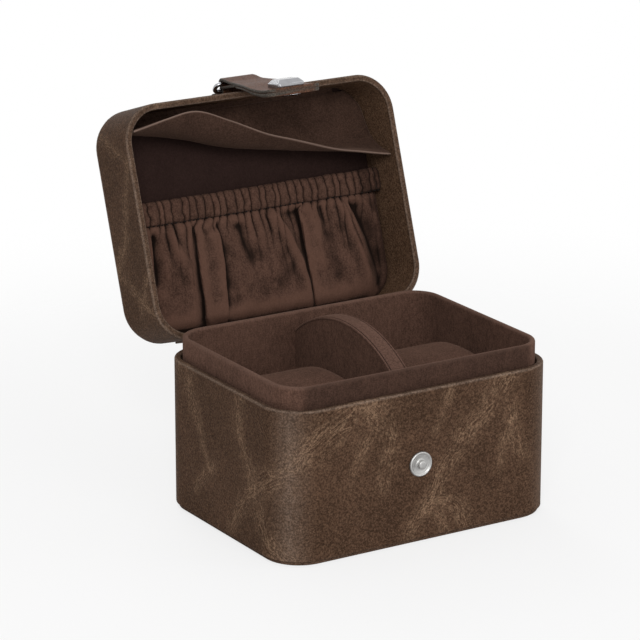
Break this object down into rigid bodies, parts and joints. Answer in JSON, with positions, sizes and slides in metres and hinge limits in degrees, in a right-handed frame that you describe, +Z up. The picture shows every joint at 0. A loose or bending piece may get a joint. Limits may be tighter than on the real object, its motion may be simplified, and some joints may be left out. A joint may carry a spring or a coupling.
{
  "type": "watch travel case",
  "caption": "Leather-covered travel case for watches: a suede-lined tray with a divider and cushions, a hinged lid with a gathered pocket and flap, and a snap tab.",
  "frame": {"origin": "centre of the case's underside, on the surface it stands on", "axes": "+X along the front towards its right end, +Y from the front to the hinge at the back, +Z up"},
  "size_m": [0.14, 0.1712, 0.1846],
  "materials": {
    "case_leather": "distressed dark brown leather, fine grain, tan crackle veins",
    "tray_suede": "brown suede",
    "lid_suede": "very dark brown suede",
    "nickel": "polished nickel plate, lightly brushed",
    "card": "grey-brown box board",
    "elastic": "woven elastic",
    "foam": "open-cell foam"
  },
  "bodies": {
    "base": {"bottom_cover": "case_leather", "bottom_board": "card", "base_leather": "case_leather", "base_board": "card", "floor_board": "card", "collar_board": "card", "collar_suede": "tray_suede", "tray_suede": "tray_suede", "divider_core": "card", "divider_suede": "tray_suede", "divider_binding": "tray_suede", "snap_stud": "nickel", "stud_rivet": "nickel", "hinge_leaf_base": "case_leather", "hinge_fold": "case_leather"},
    "lid": {"hinge_leaf_lid": "case_leather", "lid_leather": "case_leather", "lid_board": "card", "lid_top_board": "card", "lid_top_panel": "case_leather", "lid_lining": "case_leather", "lid_panel_suede": "lid_suede", "pocket_front": "tray_suede", "pocket_header": "tray_suede", "pocket_elastic": "elastic", "flap_band": "lid_suede", "ring_keeper": "case_leather", "keeper_rivet": "nickel"},
    "flap": {"pocket_flap": "tray_suede"},
    "ring": {"clasp_ring": "nickel"},
    "tab": {"tab_strap": "case_leather", "tab_lining": "case_leather", "tab_plate": "nickel", "tab_rivet": "nickel", "snap_socket": "nickel"},
    "cushion_left": {"cushion_left_band": "tray_suede", "cushion_left_ends": "tray_suede", "cushion_left_core": "foam"},
    "cushion_right": {"cushion_right_band": "tray_suede", "cushion_right_ends": "tray_suede", "cushion_right_core": "foam"}
  },
  "joints": [
    {"name": "lid_hinge", "type": "hinge", "parent": "base", "child": "lid", "pos_m": [0, 0.0535, 0.071], "axis": [-1, 0, 0], "range_deg": [-108.5, 0], "deforming": ["hinge_fold", "pocket_flap"]},
    {"name": "ring_swing", "type": "hinge", "parent": "lid", "child": "ring", "pos_m": [-0.0024, 0.1018, 0.16936], "axis": [-1, 0, 0], "range_deg": [-1, 12]},
    {"name": "tab_swing", "type": "hinge", "parent": "ring", "child": "tab", "pos_m": [-0.0024, 0.09884, 0.17351], "axis": [-1, 0, 0], "range_deg": [0, 115]},
    {"name": "flap_lift", "type": "hinge", "parent": "lid", "child": "flap", "pos_m": [0, 0.10666, 0.15708], "axis": [-1, 0, 0], "range_deg": [-18, 10], "stiffness_Nm_per_rad": 0.05},
    {"name": "cushion_left_lift", "type": "slide", "parent": "base", "child": "cushion_left", "axis": [0, 0, 1], "range_m": [0, 0.045]},
    {"name": "cushion_right_lift", "type": "slide", "parent": "base", "child": "cushion_right", "axis": [0, 0, 1], "range_m": [0, 0.045]}
  ],
  "couplings": [
    {"joint": "ring_swing", "follows": "lid_hinge", "ratio": -0.0922}
  ]
}
